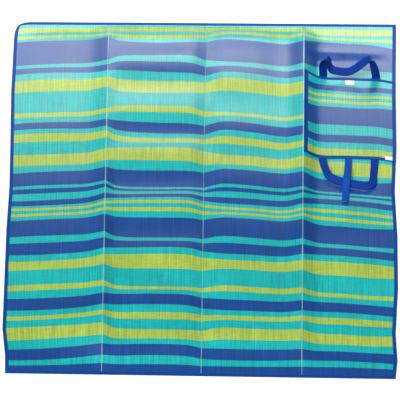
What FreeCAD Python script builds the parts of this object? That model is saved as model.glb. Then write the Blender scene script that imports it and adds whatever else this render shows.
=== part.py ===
"""Folding ground mat of woven straw-like plastic, 1.5 m by 2 m, in millimetres.

The mat lies on the ground, nearly flat, with its three lengthwise creases still standing a little. +X is to the
right across the creases, +Y is along them to the far edge, +Z is up, and the origin is on the ground under the
middle. A carry panel with two webbing handles and a closure strap is sewn to the far end of the right column.
Every section is a band: a polyline in the XZ plane, thickened and drawn out along Y.
"""

import FreeCAD, Part
import math
import os

os.makedirs("parts", exist_ok=True)

# The sheet and its binding tape
WIDTH = 1500.0
DEPTH = 2000.0
SHEET = 1.5  # thickness of the weave
TAPE = 0.8  # thickness of the binding tape, folded over every edge
TAPE_WIDTH = 14.0  # how far the tape reaches in from the edge
TAPED = SHEET / 2 + TAPE  # from the middle of the sheet to the outside of the tape

# The creases: where each crosses the mat, and how high the middle of the sheet is there
CREASE_X = (-378.0, 6.0, 394.0)
CREASE_Z = (8.0, 5.0, 8.0)
CREASE_GAP = 2.0  # crushed weave between two columns
EDGE_FLAT = 40.0  # strip along each side edge that lies flat on the ground

# The carry panel: a second layer on the right column, held by the right-hand binding
CARRY_FAR = 690.0
CARRY_NEAR = 235.0
CARRY_UNDER = SHEET / 2 + TAPE  # underside of its sheet, over its own tape
CARRY_TOP = CARRY_UNDER + SHEET
CARRY_TAPED = CARRY_TOP + TAPE

# Webbing
WEBBING = 1.6  # thickness
HANDLE_WIDTH = 32.0
FEET_APART = 202.0
FOOT_LENGTH = 25.0
STRAP_WIDTH = 28.0
HINGE_LIFT = CARRY_TAPED + 2.75  # height of the line that the webbing bends about
HINGE_OUT = 3.0  # and how far that line is outside the carry panel's edge
LEG_START = 1.0  # clear of that line

# Small pieces
PATCH_WIDTH, PATCH_LENGTH, PATCH = 34.0, 24.0, 1.2
HOOK_WIDTH, HOOK_LENGTH = 24.0, 34.0
LABEL_WIDTH, LABEL_LENGTH, LABEL = 28.0, 20.0, 0.4


def unit(dx, dz):
    length = math.hypot(dx, dz)
    return dx / length, dz / length


def length_of(points):
    return sum(math.dist(a, b) for a, b in zip(points, points[1:]))


def stretch(points, start, end):
    """The part of a polyline between two distances along it."""
    kept, travelled = [], 0.0
    for a, b in zip(points, points[1:]):
        step = math.dist(a, b)
        inside = [s for s in (start, end) if travelled <= s <= travelled + step]
        if start <= travelled <= end:
            kept.append(a)
        for s in inside:
            t = (s - travelled) / step
            kept.append((a[0] + t * (b[0] - a[0]), a[1] + t * (b[1] - a[1])))
        travelled += step
    return [p for i, p in enumerate(kept) if i == 0 or math.dist(p, kept[i - 1]) > 1e-6]


def offset(points, distance):
    """The polyline moved to its left, with mitred corners."""
    ways = [unit(b[0] - a[0], b[1] - a[1]) for a, b in zip(points, points[1:])]
    normals = [(-dz, dx) for dx, dz in ways]
    moved = []
    for i, (x, z) in enumerate(points):
        n, m = normals[max(i - 1, 0)], normals[min(i, len(normals) - 1)]
        scale = distance / (1 + n[0] * m[0] + n[1] * m[1])
        moved.append((x + scale * (n[0] + m[0]), z + scale * (n[1] + m[1])))
    return moved


def band(points, low, high, near, far):
    """A polyline thickened from low to high, drawn out from y = near to y = far."""
    outline = offset(points, low) + offset(points, high)[::-1]
    corners = [FreeCAD.Vector(x, near, z) for x, z in outline]
    face = Part.Face(Part.makePolygon(corners + corners[:1]))
    return face.extrude(FreeCAD.Vector(0, far - near, 0))


def save(name, shape):
    shape.exportStep(f"parts/{name}.step")


# The mat's section, from the left edge to the right
LEFT, RIGHT = -WIDTH / 2, WIDTH / 2
SECTION = [
    (LEFT, TAPED),
    (LEFT + EDGE_FLAT, TAPED),
    *zip(CREASE_X, CREASE_Z),
    (RIGHT - EDGE_FLAT, TAPED),
    (RIGHT, TAPED),
]
COLUMNS = (SECTION[0:3], SECTION[2:4], SECTION[3:5], SECTION[4:7])
FAR, NEAR = DEPTH / 2, -DEPTH / 2


def mat_sheet(column):
    """One column of the weave: it stops inside the tape at an edge and at the gap at a crease."""
    points = COLUMNS[column]
    start = TAPE if column == 0 else CREASE_GAP / 2
    end = length_of(points) - (TAPE if column == 3 else CREASE_GAP / 2)
    return band(stretch(points, start, end), -SHEET / 2, SHEET / 2, NEAR + TAPE, FAR - TAPE)


def end_binding(column, near, far, sheet):
    """The tape over one column's far or near edge, between the side bindings and the creases."""
    points = COLUMNS[column]
    start = TAPE_WIDTH if column == 0 else CREASE_GAP / 2
    end = length_of(points) - (TAPE_WIDTH if column == 3 else CREASE_GAP / 2)
    return band(stretch(points, start, end), -TAPED, TAPED, near, far).cut(sheet)


def mat():
    sheets = [mat_sheet(column) for column in range(4)]
    for column, sheet in enumerate(sheets):
        save(f"mat_panel_{column + 1}", sheet)
        save(f"far_binding_{column + 1}", end_binding(column, FAR - TAPE_WIDTH, FAR, sheet))
        save(f"near_binding_{column + 1}", end_binding(column, NEAR, NEAR + TAPE_WIDTH, sheet))
    left = band(stretch(COLUMNS[0], 0, TAPE_WIDTH), -TAPED, TAPED, NEAR, FAR)
    save("left_binding", left.cut(sheets[0]))
    return sheets


# The right column again, which carries everything below
CARRIER = COLUMNS[3]
CARRIER_END = length_of(CARRIER)
INNER_EDGE = CARRIER_END - TAPE_WIDTH  # where the right-hand binding begins
ALONG = unit(CARRIER[1][0] - CARRIER[0][0], CARRIER[1][1] - CARRIER[0][1])
CARRY_MIDDLE = CARRIER_END / 2


def on_carrier(along, up):
    """The (x, z) of a point at a distance along the right column and a height over the sheet's middle."""
    return (
        CARRIER[0][0] + along * ALONG[0] - up * ALONG[1],
        CARRIER[0][1] + along * ALONG[1] + up * ALONG[0],
    )


def carry_panel():
    left, right = CREASE_GAP / 2, CARRIER_END - TAPE
    sheet = band(
        stretch(CARRIER, left + TAPE, right), CARRY_UNDER, CARRY_TOP, CARRY_NEAR + TAPE, CARRY_FAR - TAPE
    )
    save("carry_panel", sheet)

    def tape(name, start, end, near, far):
        save(name, band(stretch(CARRIER, start, end), SHEET / 2, CARRY_TAPED, near, far).cut(sheet))

    inner = left + TAPE_WIDTH
    tape("carry_left_binding", left, inner, CARRY_NEAR, CARRY_FAR)
    tape("carry_far_binding", inner, INNER_EDGE, CARRY_FAR - TAPE_WIDTH, CARRY_FAR)
    tape("carry_near_binding", inner, INNER_EDGE, CARRY_NEAR, CARRY_NEAR + TAPE_WIDTH)
    return sheet


def right_binding(mat_column, carried):
    """The right-hand tape, which also takes in the carry panel's edge."""
    points = stretch(CARRIER, INNER_EDGE, CARRIER_END)
    plain = band(points, -TAPED, TAPED, NEAR, FAR)
    raised = band(points, TAPED, CARRY_TAPED, CARRY_NEAR, CARRY_FAR)
    save("right_binding", plain.fuse(raised).cut(mat_column).cut(carried).removeSplitter())


def flat_piece(middle, width, low, thick, near, far):
    """A flat rectangle of webbing or fabric on the right column, or over it."""
    ends = [on_carrier(middle + side * width / 2, 0) for side in (-1, 1)]
    return band(ends, low, low + thick, near, far)


def feet(name, edge, outward):
    """The two sewn ends of a handle, on the carry panel at its far or near edge."""
    near, far = sorted((edge, edge - outward * FOOT_LENGTH))
    sewn = [
        flat_piece(CARRY_MIDDLE + side * FEET_APART / 2, HANDLE_WIDTH, CARRY_TAPED, WEBBING, near, far)
        for side in (-1, 1)
    ]
    save(name, Part.makeCompound(sewn))


# The handles are ribbons. Each station has its distance across from the middle, out from the carry panel's edge and
# up from the middle of the mat's sheet, and the direction of the ribbon's width there in the same three terms.
# The far handle stands up: stiff legs, folded shoulders, and a grip that sags between them.
FAR_HANDLE_ROUTE = (
    (-101, HINGE_OUT, HINGE_LIFT + LEG_START, (1, 0, 0)),
    (-102, 4, 38, (1, 0.1, 0)),
    (-104, 5, 68, (0.9, 0.4, 0)),
    (-99, 5, 90, (0.6, 0.8, 0)),
    (-87, 5, 98, (0.2, 1, 0)),
    (-77, 5, 88, (0, 1, 0)),
    (-70, 4, 66, (0.2, 0.9, 0.3)),
    (-58, 3, 46, (0.3, 0.7, 0.6)),
    (-34, 3, 36, (0, 0.7, 0.7)),
    (-6, 4, 34, (0, 0.7, 0.7)),
    (22, 6, 48, (-0.4, 0.7, 0.6)),
    (50, 9, 74, (-0.5, 0.7, 0.5)),
    (72, 11, 95, (-0.4, 0.9, 0.3)),
    (85, 11, 100, (-0.2, 1, 0)),
    (94, 9, 86, (-0.7, 0.7, 0)),
    (98, 6, 62, (-1, 0.3, 0)),
    (100, 4, 36, (-1, 0, 0)),
    (101, HINGE_OUT, HINGE_LIFT + LEG_START, (-1, 0, 0)),
)
# The near handle lies on the mat, its grip half raised.
NEAR_HANDLE_ROUTE = (
    (-101, 4, HINGE_LIFT, (-1, 0, 0)),
    (-101, 34, 10, (-0.9, 0, 0.4)),
    (-99, 62, 17.5, (-0.3, 0, 1)),
    (-95, 90, 20, (0.1, 0, 1)),
    (-86, 112, 20, (0.3, -0.3, 1)),
    (-68, 126, 18.5, (0.2, -0.6, 0.8)),
    (-40, 142, 16.5, (0, -0.7, 0.7)),
    (0, 154, 15.5, (0, -0.7, 0.7)),
    (40, 161, 15.5, (0, -0.7, 0.7)),
    (70, 163, 15.5, (-0.1, -0.8, 0.6)),
    (88, 156, 15, (-0.6, -0.7, 0.5)),
    (97, 136, 13, (-0.9, -0.4, 0.3)),
    (101, 96, 10, (-1, 0, 0.1)),
    (102, 48, 8, (-1, 0, 0)),
    (101, 4, HINGE_LIFT, (-1, 0, 0)),
)


def handle(name, edge, outward, route):
    across_way = FreeCAD.Vector(ALONG[0], 0, ALONG[1])
    out_way = FreeCAD.Vector(0, outward, 0)
    up_way = FreeCAD.Vector(-ALONG[1], 0, ALONG[0])
    places = []
    for across, out, up, _ in route:
        x, z = on_carrier(CARRY_MIDDLE + across, up)
        places.append(FreeCAD.Vector(x, edge + outward * out, z))
    sections = []
    for i, (place, station) in enumerate(zip(places, route)):
        way = (places[min(i + 1, len(places) - 1)] - places[max(i - 1, 0)]).normalize()
        across, out, up = station[3]
        width = across_way * across + out_way * out + up_way * up
        width = (width - way * width.dot(way)).normalize()
        through = way.cross(width).normalize()
        a, t = width * (HANDLE_WIDTH / 2), through * (WEBBING / 2)
        corners = [place + a + t, place - a + t, place - a - t, place + a - t]
        sections.append(Part.makePolygon(corners + corners[:1]))
    save(name, Part.makeLoft(sections, True, True))


# The closure strap, from the carry panel's near edge over the near handle: distance out, height
STRAP_ROUTE = ((4, HINGE_LIFT), (60, 15), (112, 27), (143, 31), (168, 20), (198, 8), (230, 5.4), (256, 9))


def strap_band(width, low, high, start, end):
    """A stretch of the closure strap's route, thickened and as wide as asked."""
    flat = band(stretch([(-out, up) for out, up in STRAP_ROUTE], start, end), low, high, -width / 2, width / 2)
    # The band is drawn in the XZ plane with its width along Y, so it is turned to run along Y on the right column.
    x, z = on_carrier(CARRY_MIDDLE, 0)
    across, up = FreeCAD.Vector(ALONG[0], 0, ALONG[1]), FreeCAD.Vector(-ALONG[1], 0, ALONG[0])
    turn = FreeCAD.Matrix()
    turn.A11, turn.A21, turn.A31 = 0, 1, 0
    turn.A12, turn.A22, turn.A32 = -across.x, 0, -across.z
    turn.A13, turn.A23, turn.A33 = up.x, 0, up.z
    turn.A14, turn.A24, turn.A34 = x, CARRY_NEAR, z
    flat.Placement = FreeCAD.Placement(turn)
    return flat


def closure_strap():
    """The strap, drawn from its sewn end, and the hook patch under its free end."""
    length = length_of(STRAP_ROUTE)
    save("closure_strap", strap_band(STRAP_WIDTH, -WEBBING / 2, WEBBING / 2, 0, length))
    hook_end = length - 6
    hook = strap_band(HOOK_WIDTH, WEBBING / 2, WEBBING / 2 + PATCH, hook_end - HOOK_LENGTH, hook_end)
    save("hook_patch", hook)
    foot = flat_piece(CARRY_MIDDLE, STRAP_WIDTH, CARRY_TAPED, WEBBING, CARRY_NEAR, CARRY_NEAR + FOOT_LENGTH)
    save("closure_strap_foot", foot)


def small_pieces():
    """The patch that the closure strap grips, just inside the far binding, and a blank care label."""
    far = CARRY_FAR - TAPE_WIDTH
    patch = flat_piece(CARRY_MIDDLE, PATCH_WIDTH, CARRY_TOP, PATCH, far - PATCH_LENGTH, far)
    save("loop_patch", patch)
    label = band(
        stretch(CARRIER, INNER_EDGE - LABEL_WIDTH, INNER_EDGE),
        CARRY_TAPED,
        CARRY_TAPED + LABEL,
        CARRY_NEAR + 4,
        CARRY_NEAR + 4 + LABEL_LENGTH,
    )
    save("care_label", label)


columns = mat()
carried_sheet = carry_panel()
right_binding(columns[3], carried_sheet)
feet("far_handle_feet", CARRY_FAR, 1)
feet("near_handle_feet", CARRY_NEAR, -1)
handle("far_handle", CARRY_FAR, 1, FAR_HANDLE_ROUTE)
handle("near_handle", CARRY_NEAR, -1, NEAR_HANDLE_ROUTE)
closure_strap()
small_pieces()
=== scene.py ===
import math

import bpy
import numpy as np
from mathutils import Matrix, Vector


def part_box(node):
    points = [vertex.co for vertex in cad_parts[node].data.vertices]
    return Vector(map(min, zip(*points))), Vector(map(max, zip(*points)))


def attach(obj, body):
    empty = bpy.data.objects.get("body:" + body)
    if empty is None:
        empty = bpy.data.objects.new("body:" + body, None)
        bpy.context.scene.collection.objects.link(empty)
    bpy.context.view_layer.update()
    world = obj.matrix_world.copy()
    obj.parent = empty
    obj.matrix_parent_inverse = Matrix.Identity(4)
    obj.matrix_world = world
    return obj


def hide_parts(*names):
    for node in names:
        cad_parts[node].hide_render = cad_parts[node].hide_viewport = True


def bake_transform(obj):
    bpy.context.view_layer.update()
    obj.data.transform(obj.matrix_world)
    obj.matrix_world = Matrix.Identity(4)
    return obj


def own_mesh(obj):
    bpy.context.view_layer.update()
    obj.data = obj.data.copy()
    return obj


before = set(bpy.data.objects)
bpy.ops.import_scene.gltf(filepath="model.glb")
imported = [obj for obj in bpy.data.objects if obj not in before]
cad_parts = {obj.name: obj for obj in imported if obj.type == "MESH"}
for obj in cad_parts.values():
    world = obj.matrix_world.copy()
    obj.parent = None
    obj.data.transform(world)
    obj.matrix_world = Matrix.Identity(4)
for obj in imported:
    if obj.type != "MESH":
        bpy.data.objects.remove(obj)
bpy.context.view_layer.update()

# Woven beach mat, spread on the ground: its cloth still shows the folds that it was carried in.
# Sizes are in metres, except where a comment says mm.
# A place on the cloth is (x, y) as seen from above; v = 1 - y is the distance from the far edge.

SHEET = .0014
TAPE_THICK = .0029  # binding tape folded over the sheet
TAPE_WIDTH = .014
WEBBING = .0016
HANDLE_WIDTH = .032
STRAP_WIDTH = .028

columns = [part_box(f"mat_panel_{k}") for k in (1, 2, 3, 4)]
LEFT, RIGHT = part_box("left_binding")[0].x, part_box("right_binding")[1].x
NEAR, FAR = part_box("near_binding_1")[0].y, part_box("far_binding_1")[1].y
CREASE_X = [(a[1].x + b[0].x) / 2 for a, b in zip(columns, columns[1:])]
CREASE_Z = [columns[1][1].z - .00075, columns[1][0].z + .00075, columns[2][1].z - .00075]
EDGE_Z = TAPE_THICK / 2 + .0001
ENDS_Z = [EDGE_Z, *CREASE_Z, EDGE_Z]
BOUNDS_X = [LEFT, *CREASE_X, RIGHT]
BODIES = ("panel_1", "panel_2", "panel_3", "panel_4")

CARRY_NEAR, CARRY_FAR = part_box("carry_left_binding")[0].y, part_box("carry_left_binding")[1].y
FOOT_LIFT = .0016  # the middle of a sewn foot over the mat's sheet
CARRY_LIFT = .0033  # the carry panel's sheet over the mat's: the feet are sewn on its underside
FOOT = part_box("far_handle_feet")
CARRY_MIDDLE = (FOOT[0].x + FOOT[1].x) / 2
FEET = (FOOT[1].x - FOOT[0].x - HANDLE_WIDTH) / 2


def smooth(t):
    t = np.clip(t, 0, 1)
    return t * t * (3 - 2 * t)


# ---------------------------------------------------------------- the lie of the cloth

# Heights in mm along rails that run the length of the mat: where the rail is, its mean height, how much it rises
# from the far end to the middle, how much higher the middle is than the ends, and its share of the row folds.
# The heights weren't designed by hand: they are rounded from another program's least-squares fit to the photo.
RAILS = (
    (
        (LEFT, 3, 0, 0, 0),
        (-.68, 12, -4, 0, .8),
        (-.56, 23, -3, 0, 1),
        (-.45, 34, 2, 0, .6),
        (CREASE_X[0], 54, -1, 12, 0),
    ),
    (
        (CREASE_X[0], 54, -1, 12, .35),
        (-.33, 44, -11, 4, .75),
        (-.19, 45, -10, 5, 1),
        (-.05, 47, -14, 8, .9),
        (CREASE_X[1], 36, -13, 9, .5),
    ),
    (
        (CREASE_X[1], 36, -13, 9, 0),
        (.08, 45, -15, 13, .9),
        (.2, 40, -12, 11, 1),
        (.32, 31, -3, 6, .9),
        (CREASE_X[2], 47, -12, 13, .6),
    ),
    (
        (CREASE_X[2], 47, -12, 13, 0),
        (.455, 29, -9, 8, .9),
        (.55, 22, -5, 4, 1),
        (.65, 13, -6, 0, 1),
        (RIGHT, 3, 0, 0, 0),
    ),
)
UNDER_PANEL = (0, 15, 10, 8, 3)  # the right column's rails where the carry panel holds it down
# The row folds of each column: where one peaks, their pitch, and their height at the far and near end, in mm.
# They were worked out from the wave amplitudes of the same fit.
ROW_FOLDS = ((.33, .291, 6, 5), (.26, .2733, 30, 16), (.3325, .291, 20, 3), (.187, .291, 20, 5))


def through(x, knots, heights):
    """A smooth curve through the rails of one column."""
    slopes = []
    for i in range(len(knots)):
        a, b = max(i - 1, 0), min(i + 1, len(knots) - 1)
        slopes.append((heights[b] - heights[a]) / (knots[b] - knots[a]))
    out = np.zeros(x.shape)
    for i in range(len(knots) - 1):
        width = knots[i + 1] - knots[i]
        t = (x - knots[i]) / width
        u = 1 - t
        curve = (
            heights[i] * (1 + 2 * t) * u * u
            + slopes[i] * width * t * u * u
            + heights[i + 1] * (1 + 2 * u) * t * t
            - slopes[i + 1] * width * u * t * t
        )
        out = np.where(t >= 0, curve, out)
    return out


def panel_hold(v):
    """1 under the carry panel, and 0 away from it."""
    return smooth((v - (FAR - CARRY_FAR - .06)) / .055) * smooth((FAR - CARRY_NEAR + .09 - v) / .085)


def landing(v):
    """1 where the far handle comes down on the mat, beyond the carry panel's far edge, and 0 elsewhere."""
    out = FAR - CARRY_FAR - v
    return smooth((out - .002) / .022) * smooth((.15 - out) / .05)


# How far along the mat, in metres, a row of the weave is seen to shift for each mm that it lies higher.
SHIFT_PER_HEIGHT = .00107
IN_RELIEF = .2  # how much of the row folds is real relief; the rest of their course is woven crooked


def rails(x, v, relief):
    """The course in mm between the rails: what of it is relief, or all of it."""
    fold = IN_RELIEF if relief else 1
    q = v - 1
    z = np.zeros(x.shape)
    for k, column in enumerate(RAILS):
        heights = []
        for i, (_, mean, slope, middle, share) in enumerate(column):
            row = k
            if k and i == 0:  # a crease goes up and down with the column on its left
                share, row = RAILS[k - 1][-1][4], k - 1
            peak, pitch, far, near = ROW_FOLDS[row]
            wave = share * (far + (near - far) * v / 2) * np.cos(2 * math.pi * (v - peak) / pitch)
            rise = .5 if relief and k == 3 and i else 1
            free = rise * (mean + slope * q + middle * (1 / 3 - q * q)) + fold * wave
            if k == 3 and i:
                free = free + (UNDER_PANEL[i] - free) * panel_hold(v)
                free = free * (1 - .85 * landing(v)) if relief else free
            heights.append(free)
        z = np.where((x >= BOUNDS_X[k]) if k else True, through(x, [r[0] for r in column], heights), z)
    return z * (.05 + .95 * smooth(v / .14) * smooth((2 - v) / (.24 if relief else .085)))


def height(x, y):
    """Height of the mat's sheet."""
    x, y = np.broadcast_arrays(np.asarray(x, float), np.asarray(y, float))
    z = rails(x, FAR - y, True)
    low = 2.2
    return (low + 3 * np.logaddexp(0, (z - low - 2) / 3)) / 1000


def plan(x, y):
    """Where a place on the cut cloth lies, seen from above: its edges wander, and one corner is rounded."""
    x, y = np.broadcast_arrays(np.asarray(x, float), np.asarray(y, float))
    v = FAR - y
    left = np.interp(v, (0, .1, .4, .7, .95, 1.2, 1.5, 1.75, 1.9, 2), LEFT_WANDER) / 1000
    right = np.interp(v, (0, .1, .4, .7, .95, 1.2, 1.5, 1.75, 1.9, 2), RIGHT_WANDER) / 1000
    x2 = x + left * smooth((CREASE_X[0] - x) / (CREASE_X[0] - LEFT)) + right * smooth(
        (x - CREASE_X[2]) / (RIGHT - CREASE_X[2])
    )
    corner = (np.clip(1 - (x - LEFT) / .06, 0, 1) * np.clip(1 - v / .06, 0, 1)) ** 1.6
    far_edge = .017 * np.clip(1 - v / .3, 0, 1) ** 2
    return x2 + .015 * corner, y - .015 * corner - v / 2 * (.003 + .012 * x) + far_edge


# How far each side edge lies off a straight cut, in mm, at the places that plan() names. They were typed in from
# outline differences that another program printed.
LEFT_WANDER = (2, -3, -8, -5, -4, -11, -13, -15, -2, 0)
RIGHT_WANDER = (8, 8, 6, 9, 3, 13, 15, 6, 13, 6)


def lay(x, y, lift=0.0):
    """Points on the mat, or a height over it, for places on the cut cloth."""
    step = .002

    def at(a, b):
        px, py = plan(a, b)
        return np.stack([px, py, height(a, b)], -1)

    x, y = np.broadcast_arrays(np.asarray(x, float), np.asarray(y, float))
    here = at(x, y)
    # A column's own side of a crease gives the normal there.
    k = np.clip(np.searchsorted(BOUNDS_X, x.mean()) - 1, 0, 3)
    lo, hi = BOUNDS_X[k] + 1e-6, BOUNDS_X[k + 1] - 1e-6
    right, left = np.clip(x + step, lo, hi), np.clip(x - step, lo, hi)
    normal = np.cross(at(right, y) - at(left, y), at(x, y + step) - at(x, y - step))
    normal /= np.linalg.norm(normal, axis=-1, keepdims=True)
    return here + normal * np.asarray(lift)[..., None], normal


# ---------------------------------------------------------------- mesh code


def mesh(name, points, faces, material, flat=None, bevel=None, thick=None):
    data = bpy.data.meshes.new(name)
    data.from_pydata([tuple(p) for p in points], [], faces)
    data.materials.append(material)
    data.shade_smooth()
    if flat is not None:
        layer = data.attributes.new("flat", "FLOAT_VECTOR", "POINT")
        layer.data.foreach_set("vector", np.asarray(flat, np.float32).ravel())
    obj = bpy.data.objects.new(name, data)
    bpy.context.scene.collection.objects.link(obj)
    if thick:
        m = obj.modifiers.new("thickness", "SOLIDIFY")
        m.thickness, m.offset = thick, 0
    if bevel:
        m = obj.modifiers.new("edges", "BEVEL")
        m.width, m.segments, m.limit_method, m.angle_limit = bevel, 2, "ANGLE", 1.0
    return obj


def grid_faces(rows, count, closed=False):
    """Quads of a grid of rows by count points, row after row."""
    across = count if closed else count - 1
    return [
        (r * count + c, r * count + (c + 1) % count, (r + 1) * count + (c + 1) % count, (r + 1) * count + c)
        for r in range(rows - 1)
        for c in range(across)
    ]


def woven(x, v):
    """The place in the weave at x, v: the rows of the weave don't run quite square across the mat."""
    starts = [(0, 0)] + [(mm, lean) for half in STRIPES for mm, _, lean in half[1:]] + [(2000, 0)]
    mm, lean = np.array(starts).T / 1000
    # The row whose full course passes where the relief puts this place, found in small steps.
    course = v - rails(x, v, True) * SHIFT_PER_HEIGHT
    for _ in range(9):
        v = v + (course - v + rails(x, v, False) * SHIFT_PER_HEIGHT) * .75
    out = np.empty(v.shape)
    for j in range(v.shape[1]):
        out[:, j] = np.interp(v[:, j], mm + lean * x[0, j] / RIGHT, mm)
    return out


def cloth(name, xs, ys, material, lift=0.0, thick=SHEET, bevel=None, edge=None):
    """A grid of the cut cloth, laid on the mat. edge moves a row of the cloth along: it takes x and y."""
    gx, gy = np.meshgrid(xs, ys)
    if edge:
        gy = edge(gx, gy)
    points, _ = lay(gx, gy, np.full(gx.shape, lift))
    flat = np.stack([gx, woven(gx, FAR - gy), np.zeros(gx.shape)], -1)
    faces = grid_faces(*gx.shape)
    return mesh(name, points.reshape(-1, 3), faces, material, flat.reshape(-1, 3), bevel, thick)


def ride(obj, body):
    """obj gets its own mesh and goes with a column's body."""
    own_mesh(obj)
    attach(obj, body)
    return obj


def frames_along(stations, steps):
    """A smooth run through stations of (place, width direction), with steps between each two."""
    places = [Vector(p) for p, _ in stations]
    widths = [Vector(w) for _, w in stations]
    out = []

    def curve(values, i, t):
        a, b = values[i], values[i + 1]
        before, after = values[max(i - 1, 0)], values[min(i + 2, len(values) - 1)]
        ta, tb = (b - before) / 2, (after - a) / 2
        start = a * (2 * t**3 - 3 * t**2 + 1) + ta * (t**3 - 2 * t**2 + t)
        return start + b * (3 * t**2 - 2 * t**3) + tb * (t**3 - t**2)

    for i in range(len(stations) - 1):
        last = i == len(stations) - 2
        for s in range(steps + (1 if last else 0)):
            out.append([curve(places, i, s / steps), curve(widths, i, s / steps)])
    for j, (place, width) in enumerate(out):
        way = (out[min(j + 1, len(out) - 1)][0] - out[max(j - 1, 0)][0]).normalized()
        width = (width - way * width.dot(way)).normalized()
        out[j] = [place, width, way.cross(width)]
    return out


def ribbon(name, stations, width, material, steps=7, thick=WEBBING, lane=9):
    """A webbing strap: its section is flat with rounded edges, and carries a few lanes across."""
    run = frames_along(stations, steps)
    half, t = width / 2, thick / 2
    across = [-half + t * .7 + (width - 1.4 * t) * i / (lane - 1) for i in range(lane)]
    section = [(a, t) for a in across] + [(half, 0)] + [(a, -t) for a in reversed(across)] + [(-half, 0)]
    points, flat, travelled = [], [], 0.0
    for j, (place, side, up) in enumerate(run):
        if j:
            travelled += (place - run[j - 1][0]).length
        for a, h in section:
            points.append(place + side * a + up * h)
            flat.append((a, travelled, h))
    n = len(section)
    faces = grid_faces(len(run), n, closed=True)
    faces += [tuple(range(n))[::-1], tuple((len(run) - 1) * n + i for i in range(n))]
    return mesh(name, points, faces, material, flat)


def stitches(name, places, ways, normals, material, length=.0034, width=.0007):
    """One row of thread: a small spindle at each place."""
    points, faces = [], []
    for place, way, normal in zip(places, ways, normals):
        place, way, normal = Vector(place), Vector(way).normalized(), Vector(normal).normalized()
        side = normal.cross(way).normalized()
        start = len(points)
        points.append(place - way * length / 2)
        for along in (-.3, .3):
            for a, b in ((width / 2, 0), (0, width / 2), (-width / 2, 0), (0, -width / 2)):
                points.append(place + way * length * along + side * a + normal * b)
        points.append(place + way * length / 2)
        for i in range(4):
            j = (i + 1) % 4
            faces.append((start, start + 1 + j, start + 1 + i))
            faces.append((start + 1 + i, start + 1 + j, start + 5 + j, start + 5 + i))
            faces.append((start + 5 + i, start + 5 + j, start + 9))
    return mesh(name, points, faces, material)


def seam(name, xs, ys, lift, body, material=None, pitch=.005, edge=None):
    """Stitches laid along a line of the cut cloth, from (xs[0], ys[0]) to (xs[1], ys[1])."""
    count = max(int(math.dist((xs[0], ys[0]), (xs[1], ys[1])) / pitch), 2)
    gx, gy = np.linspace(*xs, count), np.linspace(*ys, count)
    if edge:
        gy = edge(gx, gy)
    points, normals = lay(gx, gy, np.full(count, lift))
    ways = np.gradient(points, axis=0)
    return ride(stitches(name, points, ways, normals, material or thread), body)


# ---------------------------------------------------------------- materials


def linear(r, g, b):
    return tuple((c / 255 / 12.92) if c <= 10 else ((c / 255 + .055) / 1.055) ** 2.4 for c in (r, g, b)) + (1,)


class Nodes:
    """A material under construction: add() makes a node with its inputs set or linked."""

    def __init__(self, name):
        self.material = bpy.data.materials.new(name)
        self.material.use_nodes = True
        self.tree = self.material.node_tree
        self.shader = self.tree.nodes["Principled BSDF"]

    def add(self, kind, inputs=(), **settings):
        node = self.tree.nodes.new("ShaderNode" + kind)
        for key, value in settings.items():
            setattr(node, key, value)
        for key, value in dict(inputs).items():
            if isinstance(value, bpy.types.NodeSocket):
                self.tree.links.new(value, node.inputs[key])
            else:
                node.inputs[key].default_value = value
        return node

    def math(self, operation, a, b=0.0, c=0.0):
        return self.add("Math", {0: a, 1: b, 2: c}, operation=operation).outputs[0]

    def mix(self, share, a, b, kind="MIX"):
        node = self.add("Mix", {0: share, 6: a, 7: b}, data_type="RGBA", blend_type=kind)
        return node.outputs[2]

    def ramp(self, value, stops, interpolation="LINEAR"):
        node = self.add("ValToRGB", {0: value})
        node.color_ramp.interpolation = interpolation
        elements = node.color_ramp.elements
        while len(elements) > 1:
            elements.remove(elements[-1])
        for i, (at, colour) in enumerate(stops):
            e = elements[0] if i == 0 else elements.new(at)
            e.position, e.color = at, colour
        return node.outputs[0]

    def noise(self, vector, scale, detail=2.0):
        return self.add("TexNoise", {"Vector": vector, "Scale": scale, "Detail": detail}).outputs["Fac"]

    def to_shader(self, **inputs):
        for key, value in inputs.items():
            socket = self.shader.inputs[key.replace("_", " ")]
            if isinstance(value, bpy.types.NodeSocket):
                self.tree.links.new(value, socket)
            else:
                socket.default_value = value
        return self.material

    def flat(self):
        """The place on the flat cloth: across, along and the third term."""
        place = self.add("Attribute", attribute_name="flat").outputs["Vector"]
        parts = self.add("SeparateXYZ", {0: place})
        return place, parts.outputs[0], parts.outputs[1]

    def wave(self, along, pitch, sharp=1.0):
        """0 to 1 and back over each pitch."""
        turns = self.math("MULTIPLY", along, 2 * math.pi / pitch)
        up = self.math("MULTIPLY_ADD", self.math("COSINE", turns), .5, .5)
        return self.math("POWER", up, sharp)

    def bump(self, value, strength, distance):
        node = self.add("Bump", {"Height": value, "Strength": strength, "Distance": distance})
        return node.outputs["Normal"]


TEAL, YELLOW, BLUE = linear(0, 158, 156), linear(148, 170, 68), linear(4, 59, 127)
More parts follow.
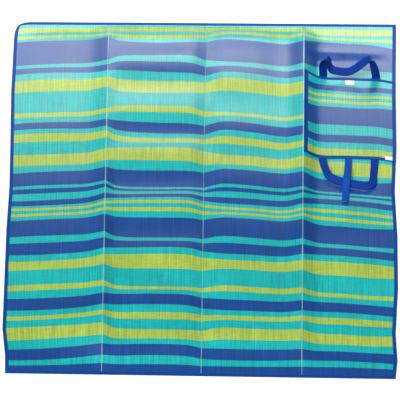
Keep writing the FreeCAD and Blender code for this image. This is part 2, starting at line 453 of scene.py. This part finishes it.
# Where each stripe starts in the middle of the mat, in mm from the far edge, and how much lower it lies at the
# right edge than in the middle. The first half's last stripe is the second half's first.
# The places and slants were corrected twice with another program's line fit to the photo.
STRIPES = (
    (
        (0, TEAL, 0), (31, YELLOW, -2), (60, TEAL, -2), (81, YELLOW, 0), (101, TEAL, 2),
        (125, BLUE, 12), (257, TEAL, 11), (292, BLUE, 29), (332, TEAL, 34), (363, YELLOW, 25),
        (421, TEAL, 18), (548, YELLOW, 29), (578, TEAL, 28), (616, BLUE, 33), (657, TEAL, 38),
        (685, YELLOW, 42), (720, TEAL, 32), (779, YELLOW, 19), (849, TEAL, 24), (886, BLUE, 15),
        (961, TEAL, 17), (980, BLUE, 16), (1014, TEAL, 4),
    ),
    (
        (1014, TEAL, 4), (1027, BLUE, 1), (1058, TEAL, 2), (1078, YELLOW, 11), (1095, TEAL, 12),
        (1112, YELLOW, 13), (1128, TEAL, 12), (1152, BLUE, 11), (1253, TEAL, 20), (1285, BLUE, 15),
        (1342, TEAL, 5), (1375, YELLOW, 2), (1434, TEAL, 9), (1527, YELLOW, 17), (1556, TEAL, 14),
        (1596, BLUE, 11), (1651, TEAL, 5), (1682, YELLOW, 1), (1713, TEAL, 5), (1757, YELLOW, 9),
        (1820, TEAL, 1), (1867, BLUE, -2), (1926, TEAL, -4), (1955, BLUE, -4),
    ),
)


def weave_material():
    n = Nodes("striped_weave")
    place, across, along = n.flat()
    split = STRIPES[1][0][0] / 1000
    halves = []
    for start, stripes in zip((0, split), STRIPES):
        stops = [(mm / 1000 - start, colour) for mm, colour, _ in stripes]
        halves.append(n.ramp(n.math("SUBTRACT", along, start), stops, "CONSTANT"))
    second = n.math("GREATER_THAN", along, split)
    stripes = n.mix(second, halves[0], halves[1])
    # Flat straws run across, each a little lighter or darker than the next. Fine warp threads tie them down.
    straw = n.math("FLOOR", n.math("DIVIDE", along, .0028))
    own = n.add("CombineXYZ", {0: n.math("MULTIPLY", across, 9), 1: n.math("MULTIPLY", straw, .37)}).outputs[0]
    tone = n.noise(own, 3.0, 1.0)
    streak = {0: n.math("MULTIPLY", across, 160), 1: n.math("MULTIPLY", along, 7)}
    streaks = n.add("CombineXYZ", streak).outputs[0]
    rubbed = n.noise(streaks, 1.0, 3.0)
    patches = n.noise(place, 5.0, 1.0)
    value = n.math("MULTIPLY_ADD", tone, .55, n.math("MULTIPLY_ADD", rubbed, .9, .29))
    value = n.math("MULTIPLY", value, n.math("MULTIPLY_ADD", patches, .3, .87))
    # Every fourth warp thread pulls the straws down, which leaves a grid of small gaps, painted darker as shade.
    gap_shade = n.math("MULTIPLY", n.wave(across, .0105, 3), n.math("MULTIPLY_ADD", n.wave(along, .0105, 2), .7, .3))
    value = n.math("MULTIPLY", value, n.math("MULTIPLY_ADD", gap_shade, -.3, 1.06))
    toned = n.mix(1.0, stripes, n.add("CombineXYZ", {0: value, 1: value, 2: value}).outputs[0], "MULTIPLY")
    warp = n.wave(across, .0055, 8)
    tied = n.mix(n.math("MULTIPLY", warp, .03), toned, linear(205, 226, 226))
    # The weave is rubbed pale where it was folded, and a painted highlight lies along each crease ridge.
    near = [n.math("ABSOLUTE", n.math("SUBTRACT", across, x)) for x in CREASE_X]
    near = n.math("MINIMUM", near[0], n.math("MINIMUM", near[1], near[2]))
    wear_and_crease_highlight = n.math("MULTIPLY", n.math("LESS_THAN", near, .0016), n.math("MULTIPLY_ADD", rubbed, 1.3, -.2))
    # Pale at each crease: crushed weave, and a painted highlight on the ridge.
    colour = n.mix(wear_and_crease_highlight, tied, linear(170, 215, 215))
    relief = n.math("ADD", n.wave(along, .0028), n.math("MULTIPLY", warp, .8))
    return n.to_shader(
        Base_Color=colour,
        Roughness=n.math("MULTIPLY_ADD", rubbed, .14, .3),
        Specular_IOR_Level=.7,
        Normal=n.bump(relief, .15, .0004),
    )


def tape_material(name, colour, pitch, rough):
    n = Nodes(name)
    place, across, along = n.flat()
    rib = n.wave(n.math("ADD", across, n.math("MULTIPLY", along, .6)), pitch)
    tone = n.noise(place, 260.0)
    value = n.math("MULTIPLY_ADD", rib, .3, n.math("MULTIPLY_ADD", tone, .5, .55))
    colour = n.mix(1.0, colour, n.add("CombineXYZ", {0: value, 1: value, 2: value}).outputs[0], "MULTIPLY")
    return n.to_shader(
        Base_Color=colour,
        Roughness=rough,
        Specular_IOR_Level=.15,
        Normal=n.bump(rib, .35, .0003),
    )


def webbing_material(name, colour):
    n = Nodes(name)
    place, across, along = n.flat()
    lanes = n.wave(across, .0032, .7)
    picks = n.wave(n.math("ADD", along, n.math("MULTIPLY", n.wave(across, .0064), .0009)), .0018)
    relief = n.math("MULTIPLY", lanes, n.math("MULTIPLY_ADD", picks, .6, .4))
    tone = n.noise(place, 420.0)
    value = n.math("MULTIPLY_ADD", relief, .35, n.math("MULTIPLY_ADD", tone, .4, .55))
    colour = n.mix(1.0, colour, n.add("CombineXYZ", {0: value, 1: value, 2: value}).outputs[0], "MULTIPLY")
    return n.to_shader(
        Base_Color=colour,
        Roughness=.7,
        Specular_IOR_Level=.15,
        Normal=n.bump(relief, .5, .0005),
    )


def fuzzy_material(name, colour, scale, strength):
    n = Nodes(name)
    place = n.add("Attribute", attribute_name="flat").outputs["Vector"]
    fuzz = n.noise(place, scale, 4.0)
    value = n.math("MULTIPLY_ADD", fuzz, .3, .82)
    colour = n.mix(1.0, colour, n.add("CombineXYZ", {0: value, 1: value, 2: value}).outputs[0], "MULTIPLY")
    return n.to_shader(Base_Color=colour, Roughness=.8, Normal=n.bump(fuzz, strength, .0006))


weave = weave_material()
tape = tape_material("ribbed_tape", linear(8, 62, 140), .0016, .5)
handle_webbing = webbing_material("handle_webbing", linear(0, 50, 140))
strap_webbing = webbing_material("strap_webbing", linear(0, 70, 165))
thread = fuzzy_material("blue_thread", linear(34, 92, 176), 900.0, .3)
hook_side = fuzzy_material("hook_side", linear(228, 228, 224), 1600.0, .8)
loop_side = fuzzy_material("loop_side", linear(236, 238, 238), 700.0, .9)
satin = fuzzy_material("satin_label", linear(238, 240, 240), 1200.0, .15)
floor_paper = Nodes("floor_paper").to_shader(Base_Color=(.93, .93, .93, 1), Roughness=.9)

# ---------------------------------------------------------------- the mat

ROWS = 300


def spaced(start, end, count, fine_start=False, fine_end=False):
    t = np.linspace(0, 1, count)
    if fine_start and fine_end:
        t = (1 - np.cos(np.pi * t)) / 2 * .6 + t * .4
    elif fine_start:
        t = (1 - np.cos(np.pi * t / 2)) * .6 + t * .4
    elif fine_end:
        t = np.sin(np.pi * t / 2) * .6 + t * .4
    return start + (end - start) * t


inset = .0008
rows = np.linspace(NEAR + inset, FAR - inset, ROWS)
end_rows = {
    "far": np.linspace(FAR - TAPE_WIDTH, FAR, 5),
    "near": np.linspace(NEAR, NEAR + TAPE_WIDTH, 5),
}
mat = []
for k in range(4):
    start, end = BOUNDS_X[k] + (inset if k == 0 else 0), BOUNDS_X[k + 1] - (inset if k == 3 else 0)
    body = BODIES[k]
    sheet = cloth(f"mat_sheet_{k + 1}", spaced(start, end, 52, k > 0, k < 3), rows, weave)
    ride(sheet, body)
    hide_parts(f"mat_panel_{k + 1}")
    pieces = []
    for side, ys in end_rows.items():
        a = LEFT + TAPE_WIDTH if k == 0 else BOUNDS_X[k]
        b = RIGHT - TAPE_WIDTH if k == 3 else BOUNDS_X[k + 1]
        xs = np.linspace(a, b, 60)
        piece = cloth(f"{side}_tape_{k + 1}", xs, ys, tape, thick=TAPE_THICK, bevel=.0006)
        ride(piece, body)
        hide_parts(f"{side}_binding_{k + 1}")
        y = FAR - TAPE_WIDTH + .002 if side == "far" else NEAR + TAPE_WIDTH - .002
        row = seam(f"{side}_stitches_{k + 1}", (a, b), (y, y), TAPE_THICK / 2, body)
        pieces += [piece, row]
    mat.append([sheet, pieces])

side_rows = np.linspace(NEAR, FAR, 320)
for side, k, x0, x1 in (("left", 0, LEFT, LEFT + TAPE_WIDTH), ("right", 3, RIGHT - TAPE_WIDTH, RIGHT)):
    piece = cloth(f"{side}_tape", np.linspace(x0, x1, 5), side_rows, tape, thick=TAPE_THICK, bevel=.0006)
    ride(piece, BODIES[k])
    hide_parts(f"{side}_binding")
    x = x1 - .002 if side == "left" else x0 + .002
    top = TAPE_THICK / 2
    row = seam(f"{side}_stitches", (x, x), (NEAR + .004, FAR - .004), top, BODIES[k])
    mat[k][1] += [piece, row]

# The crushed weave in each crease: it lies hidden under the ridge.
slopes = [(b - a) / (d - c) for a, b, c, d in zip(ENDS_Z, ENDS_Z[1:], BOUNDS_X, BOUNDS_X[1:])]
for i, (x, z) in enumerate(zip(CREASE_X, CREASE_Z)):
    xs, ys = np.linspace(-.006, .006, 9), np.linspace(NEAR + .12, FAR - .05, 116)
    gx, gy = np.meshgrid(xs + x, ys)
    gz = z + np.where(gx < x, (gx - x) * slopes[i], (gx - x) * slopes[i + 1])
    points = np.stack([gx, gy, gz], -1).reshape(-1, 3)
    flat = np.stack([gx, FAR - gy, 0 * gx], -1).reshape(-1, 3)
    strip = mesh(f"crease_{i + 1}", points, grid_faces(*gx.shape), weave, flat, thick=SHEET * .8)
    a, b = BODIES[i], BODIES[i + 1]
    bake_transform(strip)

# ---------------------------------------------------------------- the carry panel


def carry_edge(x, y):
    """The carry panel's far and near edges aren't quite straight: the cloth hangs between its two sides."""
    p = (x - CREASE_X[2]) / (RIGHT - CREASE_X[2])
    share = (y - CARRY_NEAR) / (CARRY_FAR - CARRY_NEAR)
    far = np.interp(p, (0, .2, .45, .8, 1), CARRY_FAR_SAG) / 1000
    near = np.interp(p, (0, .2, .45, .8, 1), CARRY_NEAR_SAG) / 1000
    return y + share * far + (1 - share) * near


CARRY_FAR_SAG = (10, 8, 3, 2, -12)
CARRY_NEAR_SAG = (-8, -5, -4, -6, -18)
panel_left, panel_right = CREASE_X[2] + .001, RIGHT - .0009
panel_rows = np.linspace(CARRY_NEAR + inset, CARRY_FAR - inset, 70)
# How far down the panel a stripe lies, and its place in the weave. Four of these places repeat fitted STRIPES.
PANEL_DOWN = (-.05, .036, .263, .323, .367, .402, .5)
PANEL_WOVEN = (1.0142, 1.0155, 1.253, 1.285, 1.342, 1.376, 1.474)
panel = cloth(
    "carry_panel_sheet",
    spaced(panel_left + inset, panel_right, 52, fine_start=True),
    panel_rows,
    weave,
    lift=CARRY_LIFT,
    edge=carry_edge,
)
# The panel's own stripes, by the distance from its far edge.
layer = panel.data.attributes["flat"].data
values = np.zeros(len(layer) * 3, np.float32)
layer.foreach_get("vector", values)
values = values.reshape(-1, 3)
px, py = np.meshgrid(spaced(panel_left + inset, panel_right, 52, fine_start=True), panel_rows)
down = CARRY_FAR - py
down = down - .2 * (.46 - down) * (px - .56)
# Its weave runs down towards the crease, and a little up at the outer edge.
by_crease = smooth((.49 - px) / .1) * smooth((.43 - down) / .16)
down = down - .019 * by_crease + .019 * smooth((px - .6) / .15) * smooth((.3 - down) / .2)
values[:, 1] = np.interp(down.ravel(), PANEL_DOWN, PANEL_WOVEN)
layer.foreach_set("vector", values.ravel())
ride(panel, "panel_4")
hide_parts("carry_panel")


def carried(obj, node):
    ride(obj, "panel_4")
    if node:
        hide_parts(node)
    return obj


inner = panel_left + TAPE_WIDTH
outer = RIGHT - TAPE_WIDTH
across, down = np.linspace(inner, outer, 60), np.linspace(CARRY_NEAR, CARRY_FAR, 80)
tape_args = {"lift": CARRY_LIFT, "thick": TAPE_THICK, "bevel": .0006, "edge": carry_edge}
left_xs, right_xs = np.linspace(panel_left, inner, 5), np.linspace(outer, RIGHT, 5)
carried(cloth("carry_left_tape", left_xs, down, tape, **tape_args), "carry_left_binding")
carried(cloth("carry_right_tape", right_xs, down, tape, **tape_args), None)
for side, y0 in (("far", CARRY_FAR - TAPE_WIDTH), ("near", CARRY_NEAR)):
    y1 = CARRY_FAR if side == "far" else CARRY_NEAR + TAPE_WIDTH
    strip = cloth(f"carry_{side}_tape", across, np.linspace(y0, y1, 5), tape, **tape_args)
    carried(strip, f"carry_{side}_binding")
on_tape = CARRY_LIFT + TAPE_THICK / 2
seams = (
    ("carry_far_stitches", (inner, outer), (CARRY_FAR - TAPE_WIDTH + .002,) * 2),
    ("carry_near_stitches", (inner, outer), (CARRY_NEAR + TAPE_WIDTH - .002,) * 2),
    ("carry_left_stitches", (inner - .002,) * 2, (CARRY_NEAR + .004, CARRY_FAR - .004)),
    ("carry_right_stitches", (outer + .002,) * 2, (CARRY_NEAR + .004, CARRY_FAR - .004)),
)
for name, xs, ys in seams:
    row = seam(name, xs, ys, on_tape, "panel_4", edge=carry_edge)


def patch(name, node, slot, material, x0, x1, y0, y1, low, thick):
    """A flat piece sewn on the carry panel, with a row of stitches inside its edge."""
    lift = low + thick / 2
    args = {"lift": lift, "thick": thick, "bevel": thick * .3, "edge": carry_edge}
    piece = cloth(name, np.linspace(x0, x1, 12), np.linspace(y0, y1, 10), material, **args)
    carried(piece, node)
    a, b, c, d = x0 + .002, x1 - .002, y0 + .002, y1 - .002
    for i, (xs, ys) in enumerate((((a, b), (c, c)), ((a, b), (d, d)), ((a, a), (c, d)), ((b, b), (c, d)))):
        top = low + thick
        row = seam(f"{name}_stitches_{i + 1}", xs, ys, top, "panel_4", pitch=.004, edge=carry_edge)
    return piece


on_panel = CARRY_LIFT + SHEET / 2
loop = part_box("loop_patch")
loop_area = (loop[0].x, loop[1].x, loop[0].y, loop[1].y)
patch("loop_patch_felt", "loop_patch", "loop", loop_side, *loop_area, on_panel, .0012)
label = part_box("care_label")
label_area = (label[0].x, label[1].x, label[0].y, label[1].y)
patch("blank_label", "care_label", "label", satin, *label_area, on_tape, .0004)

# ---------------------------------------------------------------- handles and closure strap


def sewn(across, out, up, edge, outward):
    """A point by the carry panel, in mm: across from its middle, out from its edge, up from the mat's sheet."""
    x, y = CARRY_MIDDLE + across / 1000, edge + outward * out / 1000
    inside = min(max(y, CARRY_NEAR), CARRY_FAR)
    base = lay(np.array([x]), np.array([carry_edge(np.array(x), np.array(inside))]))[0][0]
    ground = height(x, base[1] + (y - inside)) if outward < 0 else base[2]
    return Vector((x, base[1] + (y - inside), float(ground) + up / 1000))


def local(stations, edge, outward):
    out = []
    for across, away, up, (wa, wo, wu) in stations:
        out.append((sewn(across, away, up, edge, outward), Vector((wa, wo * outward, wu))))
    return out


LEG = FOOT_LIFT * 1000


def feet(start_width, end_width):
    """The sewn ends that come before and after a handle's free run."""
    foot = FEET * 1000
    before = [(-foot, out, LEG, start_width) for out in (-25, -14, -3)]
    after = [(foot, out, LEG, end_width) for out in (-3, -14, -25)]
    return before, after


FAR_HANDLE = [
    (-101, 3, 2.4, (1, 0, 0)),
    (-101, 6, 9, (1, 0, 0)),
    (-102, 6, 38, (1, .1, 0)),
    (-103, 6, 68, (.9, .4, 0)),
    (-97, 6, 92, (.7, .7, 0)),
    (-87, 5, 101, (.5, .9, 0)),
    (-80, 5, 84, (.6, .8, .2)),
    (-77, 5, 62, (.5, .8, .4)),
    (-66, 4, 44, (.3, .7, .6)),
    (-38, 3, 36, (0, .7, .7)),
    (-6, 4, 34, (0, .7, .7)),
    (22, 6, 48, (-.4, .7, .6)),
    (50, 9, 74, (-.5, .7, .5)),
    (72, 11, 95, (-.4, .9, .3)),
    (84, 10, 101, (-.3, 1, 0)),
    (91, 8, 90, (-.8, .6, 0)),
    (98, 6, 62, (-1, .2, 0)),
    (104, 6, 36, (-1, 0, 0)),
    (107, 6, 9, (-1, 0, 0)),
    (107, 3, 2.4, (-1, 0, 0)),
]
NEAR_HANDLE = [
    (-102, 5, 3.5, (-1, 0, 0)),
    (-100, 30, 9, (-.9, 0, -.4)),
    (-95, 58, 14, (-.8, 0, -.6)),
    (-89, 84, 18, (-.7, .1, -.6)),
    (-81, 108, 19, (-.6, .5, -.6)),
    (-66, 128, 18.5, (-.4, .7, -.6)),
    (-40, 142, 16.5, (-.1, .7, -.7)),
    (0, 154, 15.5, (0, .7, -.7)),
    (40, 161, 15.5, (0, .7, -.7)),
    (70, 163, 15.5, (.2, .7, -.6)),
    (88, 154, 15, (.7, .6, -.5)),
    (96, 132, 13, (1, .3, -.3)),
    (98, 96, 10, (.9, 0, -.4)),
    (101, 48, 8, (.9, 0, -.3)),
    (102, 5, 3.5, (1, 0, 0)),
]
# The strap's stations: out, up and across, in mm.
STRAP = [
    (5, 4, 0), (60, 15, -2), (112, 27, -5), (143, 31, -7), (168, 20, -9), (198, 8, -10), (230, 5.4, -11),
    (256, 9, -12),
]


def hinged(obj, edge, outward):
    """The transform of obj is baked into its mesh."""
    base = sewn(0, 0, LEG, edge, outward)
    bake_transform(obj)
    return obj


def tack(name, x0, x1, y0, y1, top, body="panel_4"):
    """A sewn box with a cross in it, through the carry panel's tape and the foot under it."""
    box = ((x0, y0, x1, y0), (x1, y0, x1, y1), (x1, y1, x0, y1), (x0, y1, x0, y0))
    lines = box + ((x0, y0, x1, y1), (x0, y1, x1, y0))
    for i, (a, b, c, d) in enumerate(lines):
        row = seam(f"{name}_{i + 1}", (a, c), (b, d), top, body, pitch=.0035, edge=carry_edge)


for name, stations, edge, outward in (
    ("far_handle", FAR_HANDLE, CARRY_FAR, 1),
    ("near_handle", NEAR_HANDLE, CARRY_NEAR, -1),
):
    before, after = feet(stations[0][3], stations[-1][3])
    run = local(before + stations + after, edge, outward)
    strap = ribbon(f"{name}_webbing", run, HANDLE_WIDTH, handle_webbing)
    hinged(strap, edge, outward)
    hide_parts(name, f"{name}_feet")
    for i, side in enumerate((-1, 1)):
        x = CARRY_MIDDLE + side * FEET
        y0, y1 = sorted((edge - outward * .012, edge - outward * .002))
        tack(f"{name}_tack_{'ab'[i]}", x - .012, x + .012, y0, y1, on_tape)

strap_run = [(0, out, LEG, (-1, 0, 0)) for out in (-25, -14, -3)]
strap_run += [(a, out, up, (-1, 0, 0)) for out, up, a in STRAP]
strap = ribbon("closure_strap_webbing", local(strap_run, CARRY_NEAR, -1), STRAP_WIDTH, strap_webbing)
hinged(strap, CARRY_NEAR, -1)
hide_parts("closure_strap", "closure_strap_foot")
tack("strap_tack", CARRY_MIDDLE - .010, CARRY_MIDDLE + .010, CARRY_NEAR + .002, CARRY_NEAR + .012, on_tape)

# The hook patch is under the strap's free end.
hook_run = [(a, out, up - 1.4, (-1, 0, 0)) for out, up, a in STRAP[-4:]]
hook_frames = local(hook_run, CARRY_NEAR, -1)[1:]
hook = ribbon("hook_patch_tape", hook_frames, .024, hook_side, thick=.0012)
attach(hook, "closure_strap")
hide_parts("hook_patch")

# ---------------------------------------------------------------- floor, light and camera

floor = mesh(
    "floor",
    [(-300, -300, 0), (300, -300, 0), (300, 300, 0), (-300, 300, 0)],
    [(0, 1, 2, 3)],
    floor_paper,
)

world = bpy.data.worlds.new("studio")
bpy.context.scene.world = world
world.use_nodes = True
world.node_tree.nodes["Background"].inputs["Color"].default_value = (1, 1, 1, 1)
world.node_tree.nodes["Background"].inputs["Strength"].default_value = .07
bpy.context.scene.view_settings.view_transform = "Standard"


def lamp(name, kind, place, target, energy, **settings):
    light = bpy.data.lights.new(name, kind)
    light.energy = energy
    for key, value in settings.items():
        setattr(light, key, value)
    obj = bpy.data.objects.new(name, light)
    bpy.context.scene.collection.objects.link(obj)
    obj.location = place
    obj.rotation_euler = (Vector(target) - Vector(place)).to_track_quat("-Z", "Y").to_euler()


# A broad soft light over the camera, and a long low one beyond the far edge, which the weave shines back.
lamp("overhead", "SUN", (-1.2, -2.2, 4.5), (0, 0, 0), 4.45, angle=math.radians(35))
low_light = {"shape": "RECTANGLE", "size": 3.4, "size_y": .5, "spread": math.radians(60)}
lamp("behind", "AREA", (0, 1.75, .72), (0, .95, 0), 4.8, **low_light)

camera_data = bpy.data.cameras.new("camera")
camera = bpy.data.objects.new("camera", camera_data)
bpy.context.scene.collection.objects.link(camera)
DISTANCE, ELEVATION, AZIMUTH = 55.0, math.radians(43), math.radians(.57)
SENSOR = 36  # mm
SEEN_WIDTH = 1.5625  # what the picture takes in at the mat's middle
camera_data.sensor_width = SENSOR
camera_data.lens = SENSOR * DISTANCE / SEEN_WIDTH
camera_data.clip_start, camera_data.clip_end = 1, 600
aim = Vector((-.0078, -.0057, 0))
back = Vector((
    math.sin(AZIMUTH) * math.cos(ELEVATION), -math.cos(AZIMUTH) * math.cos(ELEVATION), math.sin(ELEVATION)
))
camera.location = aim + back * DISTANCE
camera.rotation_euler = (-back).to_track_quat("-Z", "Y").to_euler()
bpy.context.scene.camera = camera
